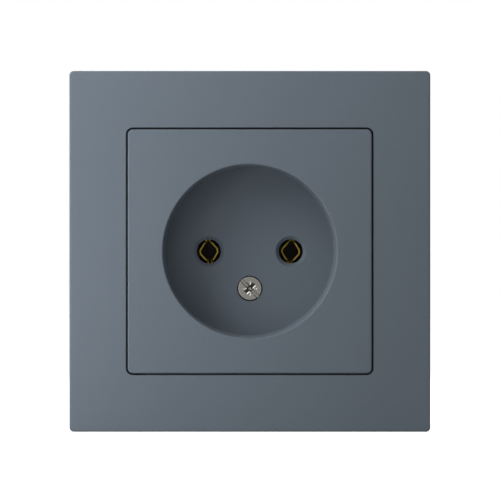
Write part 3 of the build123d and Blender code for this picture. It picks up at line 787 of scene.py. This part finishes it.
@dataclass
class Screw:
    """A screw whose CAD head stays and whose plain shank becomes a thread."""

    node: str
    body: str
    axis: Vector
    thread: ThreadSize
    head_depth: float
    plain_tip: float = 0.0
    facets: int = 24
    rings_per_turn: int = 16
    overlap: float = 0.05 * MM
    sharp_degrees: float = 50.0
    centre: Vector = field(init=False)
    neck: float = field(init=False)
    tip: float = field(init=False)

    def __post_init__(self) -> None:
        """Finds the CAD screw's middle, and where its shank starts and ends along the axis."""
        low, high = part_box(self.node)
        self.centre = (low + high) / 2
        middle = self.axis.dot(self.centre)
        reach = abs(self.axis.dot(high - low)) / 2
        self.neck = middle - reach + self.head_depth
        self.tip = middle + reach - self.plain_tip

    def build(self, shop: Workshop) -> bpy.types.Object:
        """Puts a threaded shank in the place of the plain one.

        Args:
            shop: the shared materials and recipes.

        Returns:
            The finished screw.
        """
        name = f"{self.node}_threaded"
        whole = self._ends()
        thread = self._thread(shop)
        whole.from_mesh(thread)
        bpy.data.meshes.remove(thread)
        mesh = bpy.data.meshes.new(name)
        whole.to_mesh(mesh)
        whole.free()
        mesh.materials.clear()
        mesh.materials.append(shop.materials[Slot.SCREW])
        mesh.polygons.foreach_set("material_index", [0] * len(mesh.polygons))
        return piece_from(mesh, name, self.body, Slot.SCREW, self.node)

    def _ends(self) -> bmesh.types.BMesh:
        """Copies the CAD screw without its plain shank, so that the head keeps its own normals.

        Returns:
            The closed head, and the upset end if there is one.
        """
        ends = bmesh.new()
        ends.from_mesh(frame["nodes"][self.node].data)
        shank = []
        for face in ends.faces:
            along = [self.axis.dot(corner.co) for corner in face.verts]
            in_head = max(along) < self.neck + MERGE_DISTANCE
            in_tip = self.plain_tip > 0 and min(along) > self.tip - MERGE_DISTANCE
            if not (in_head or in_tip):
                shank.append(face)
        bmesh.ops.delete(ends, geom=shank, context="FACES")
        self._cap(ends, self.neck, self.axis)
        if self.plain_tip:
            self._cap(ends, self.tip, -self.axis)
        return ends

    def _cap(self, ends: bmesh.types.BMesh, level: float, outward: Vector) -> None:
        """Closes the round hole that the shank leaves in an end.

        Args:
            ends: the head and the upset end, which get one more face.
            level: where the hole is along the axis.
            outward: the way that the new face looks.
        """
        rim: dict[tuple[int, ...], Vector] = {}
        for corner in ends.verts:
            arm = corner.co - self.centre
            radius = (arm - self.axis * self.axis.dot(arm)).length
            at_level = abs(self.axis.dot(corner.co) - level) < MERGE_DISTANCE
            if at_level and radius < self.thread.radius + MICRON:
                rim[tuple(round(value / MERGE_DISTANCE) for value in corner.co)] = arm
        side = outward.orthogonal().normalized()
        turn = outward.cross(side)
        arms = sorted(rim.values(), key=lambda arm: math.atan2(turn.dot(arm), side.dot(arm)))
        ends.faces.new([ends.verts.new(self.centre + arm) for arm in arms])

    def _thread(self, shop: Workshop) -> bpy.types.Mesh:
        """Makes the threaded shank in its place, reaching a little into each end.

        Args:
            shop: the shared materials and recipes.

        Returns:
            The thread's mesh.
        """
        start = self.neck - self.overlap
        end = self.tip + (self.overlap if self.plain_tip else 0.0)
        mesh = shop.threads.mesh(
            f"{self.node}_thread",
            shop.materials[Slot.SCREW],
            Crest_radius=self.thread.radius,
            Core_radius=self.thread.radius - self.thread.depth,
            Pitch=self.thread.pitch,
            Length=end - start,
            Tip_share=1.0 if self.plain_tip else 0.0,
            Facets=self.facets,
            Rings=round((end - start) / self.thread.pitch * self.rings_per_turn),
        )
        mesh.transform(standing(self.centre + self.axis * (start - self.axis.dot(self.centre)), self.axis))
        return shaded(mesh, self.sharp_degrees)


@dataclass
class FaceCover:
    """What shows from the room: the cover frame, the front plate and the screw in the well."""

    screw_thread: ThreadSize = M3
    screw_head: float = 1.8 * MM

    def build(self, shop: Workshop) -> None:
        """Threads the face screw."""
        Screw("face_screw", "socket", INTO_WALL, self.screw_thread, self.screw_head).build(shop)

    def dress(self, shop: Workshop) -> None:
        """Finishes the two mouldings."""
        shop.dress("cover_frame", "front_plate")


@dataclass
class Insert:
    """What sits in the wall: ring, base, cover, nut and contacts."""

    fixed_nodes: tuple[str, ...] = ("support_ring", "base_body", "contact_cover", "face_nut")
    paired_nodes: tuple[str, ...] = ("contact", "contact_clip")

    def dress(self, shop: Workshop) -> None:
        """Finishes every piece of the insert.

        Args:
            shop: the shared materials and recipes.
        """
        shop.dress(*self.fixed_nodes)
        for side in Side:
            shop.dress(*(side.named(stem) for stem in self.paired_nodes))


@dataclass
class TerminalClamp:
    """One screw terminal: its screw and the plate that it presses on the wires."""

    side: Side
    screw_thread: ThreadSize = M3_5
    screw_head: float = 2.2 * MM

    def build(self, shop: Workshop) -> None:
        """Threads the terminal screw."""
        node, body = self.side.named("terminal_screw"), self.side.named("clamp")
        Screw(node, body, DOWN, self.screw_thread, self.screw_head).build(shop)

    def dress(self, shop: Workshop) -> None:
        """Finishes the clamp plate."""
        shop.dress(self.side.named("clamp_plate"))


@dataclass
class FixingClaw:
    """One fixing claw with the screw that draws it and the spring that pushes it back."""

    side: Side
    screw_thread: ThreadSize = M3
    screw_head: float = 2.0 * MM
    screw_upset: float = 0.8 * MM
    spring_turns: float = 8.0
    spring_end_turns: float = 1.0
    spring_sharp_degrees: float = 50.0
    wire_radius: float = 0.25 * MM
    claw_angle: float = math.radians(30.0)

    def build(self, shop: Workshop) -> None:
        """Threads the claw screw and winds the spring.

        Args:
            shop: the shared materials and recipes.
        """
        node = self.side.named("claw_screw")
        Screw(node, "socket", INTO_WALL, self.screw_thread, self.screw_head, self.screw_upset).build(shop)
        self._wind(shop)

    def _wind(self, shop: Workshop) -> None:
        """Winds the return spring.

        Args:
            shop: the shared materials and recipes.
        """
        node, joint = self.side.named("claw_spring"), self.side.named("claw_slide")
        low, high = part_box(node)
        centre = (low + high) / 2
        mesh = shop.coils.mesh(
            f"{node}_coil",
            shop.materials[Slot.SPRING],
            Coil_radius=(high.x - low.x) / 2 - self.wire_radius,
            Wire_radius=self.wire_radius,
            Length=high.y - low.y - 2 * self.wire_radius,
            Turns=self.spring_turns,
            End_turns=self.spring_end_turns,
        )
        mesh.transform(standing(Vector((centre.x, low.y + self.wire_radius, centre.z)), INTO_WALL))
        mesh = shaded(mesh, self.spring_sharp_degrees)
        piece = piece_from(mesh, f"{node}_coil", "socket", Slot.SPRING, node)
        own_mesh(piece)

    def dress(self, shop: Workshop) -> None:
        """Finishes the claw."""
        shop.dress(self.side.named("claw"))


@dataclass(frozen=True)
class SoftBox:
    """A rectangular lamp that faces a point."""

    name: str
    place: Point
    aim: Point
    width: float
    height: float
    watts: float

    def light(self) -> None:
        """Adds the lamp, unseen by the camera."""
        data = bpy.data.lights.new(self.name, "AREA")
        data.shape = "RECTANGLE"
        data.size = self.width
        data.size_y = self.height
        data.energy = self.watts
        lamp = bpy.data.objects.new(self.name, data)
        lamp.location = self.place
        lamp.rotation_euler = (Vector(self.aim) - Vector(self.place)).to_track_quat("-Z", "Y").to_euler()
        lamp.visible_camera = False
        bpy.context.scene.collection.objects.link(lamp)


@dataclass
class Studio:
    """Floor, lamps, world and camera."""

    floor_half: float = 2.5
    floor_colour: Colour = (0.5, 0.5, 0.5)
    floor_roughness: float = 0.9
    floor_glow: float = 0.86
    fill: float = 0.315
    camera_distance: float = 1.5
    view_width: float = 114.95 * MM
    aim: Span = (0.04 * MM, 0.315 * MM)
    sensor: float = 36.0
    lamps: tuple[SoftBox, ...] = (
        SoftBox("near_key", (-0.0542, -0.0586, 0.0364), (0, 0, 0.0459), 0.1013, 0.1999, 0.047),
        SoftBox("upper_left", (-0.1428, -0.101, 0.1547), (0, 0, 0.0291), 0.0929, 0.2299, 0.459),
        SoftBox("left_spark", (-0.3, -0.4, -0.0086), (0, 0, -0.0086), 0.04, 0.04, 0.11),
        SoftBox("top_spark", (0, -0.4, 0.28), (0, 0, -0.0086), 0.04, 0.04, 0.075),
        SoftBox("top_strip", (0.05, -0.03, 0.075), (0.05, 0, 0.035), 0.2, 0.02, 0.009),
        SoftBox("low_left", (-0.11, -0.05, -0.022), (0, 0, -0.035), 0.08, 0.03, 0.034),
        SoftBox("behind", (0.0, 0.5, 0.35), (0, 0.01, 0), 0.4, 0.4, 2.0),
    )

    def build(self) -> None:
        """Sets up everything around the socket."""
        scene = bpy.context.scene
        scene.view_settings.view_transform = "Standard"
        self._floor()
        self._world(scene)
        for lamp in self.lamps:
            lamp.light()
        self._camera(scene)

    def _floor(self) -> None:
        """A plain pale floor under the socket's lower edge, white to the camera where nothing shades it."""
        mesh = bpy.data.meshes.new("floor")
        level, far = cad_box[0][2], self.floor_half
        corners = [(-far, -far, level), (far, -far, level), (far, far, level), (-far, far, level)]
        mesh.from_pydata(corners, [], [(0, 1, 2, 3)])
        floor = bpy.data.objects.new("floor", mesh)
        bpy.context.scene.collection.objects.link(floor)
        material, bench, shader = Finish("floor_pale").start()
        bench.feed(shader.inputs["Base Color"], (*self.floor_colour, 1.0))
        bench.feed(shader.inputs["Roughness"], self.floor_roughness)
        bench.feed(shader.inputs["Emission Color"], WHITE)
        seen = bench.math("MULTIPLY", self._seen(bench), self.floor_glow)
        bench.feed(shader.inputs["Emission Strength"], seen)
        mesh.materials.append(material)

    @staticmethod
    def _seen(bench: Bench) -> bpy.types.NodeSocket:
        """Tells the rays that look at a thing from those that only carry light.

        Args:
            bench: the bench of the material's or world's tree.

        Returns:
            1 for a camera, glossy or transmission ray, else 0.
        """
        rays = bench.add("ShaderNodeLightPath").outputs
        shiny = bench.math("MAXIMUM", rays["Is Glossy Ray"], rays["Is Transmission Ray"])
        return bench.math("MAXIMUM", rays["Is Camera Ray"], shiny)

    def _world(self, scene: bpy.types.Scene) -> None:
        """White where it is looked at, and a weak even fill for the rest.

        Args:
            scene: the scene that gets the world.
        """
        world = bpy.data.worlds.new("studio")
        world.use_nodes = True
        world.node_tree.nodes.clear()
        bench = Bench(world.node_tree)
        strength = bench.remap(self._seen(bench), 0.0, 1.0, self.fill, 1.0)
        back = bench.add("ShaderNodeBackground", {"Color": WHITE, "Strength": strength})
        bench.add("ShaderNodeOutputWorld", {"Surface": back.outputs[0]})
        scene.world = world

    def _camera(self, scene: bpy.types.Scene) -> None:
        """Straight in front, framed as the photograph is.

        Args:
            scene: the scene that gets the camera.
        """
        front = cad_box[0][1]
        data = bpy.data.cameras.new("camera")
        data.sensor_width = self.sensor
        data.lens = self.sensor * self.camera_distance / self.view_width
        camera = bpy.data.objects.new("camera", data)
        camera.location = (self.aim[0], front - self.camera_distance, self.aim[1])
        camera.rotation_euler = (math.radians(90), 0, 0)
        scene.collection.objects.link(camera)
        scene.camera = camera


def main() -> None:
    """Builds and dresses every sub-assembly, then the studio."""
    logging.basicConfig(level=logging.INFO, format="%(name)s: %(message)s")
    effects = Effects()
    materials = {slot: finish.make(effects) for slot, finish in FINISHES.items()}
    shop = Workshop(materials, ThreadRecipe(), CoilRecipe())
    cover = FaceCover()
    cover.build(shop)
    cover.dress(shop)
    Insert().dress(shop)
    for side in Side:
        for group in (TerminalClamp(side), FixingClaw(side)):
            group.build(shop)
            group.dress(shop)
    Studio().build()


if __name__ == "__main__":
    main()
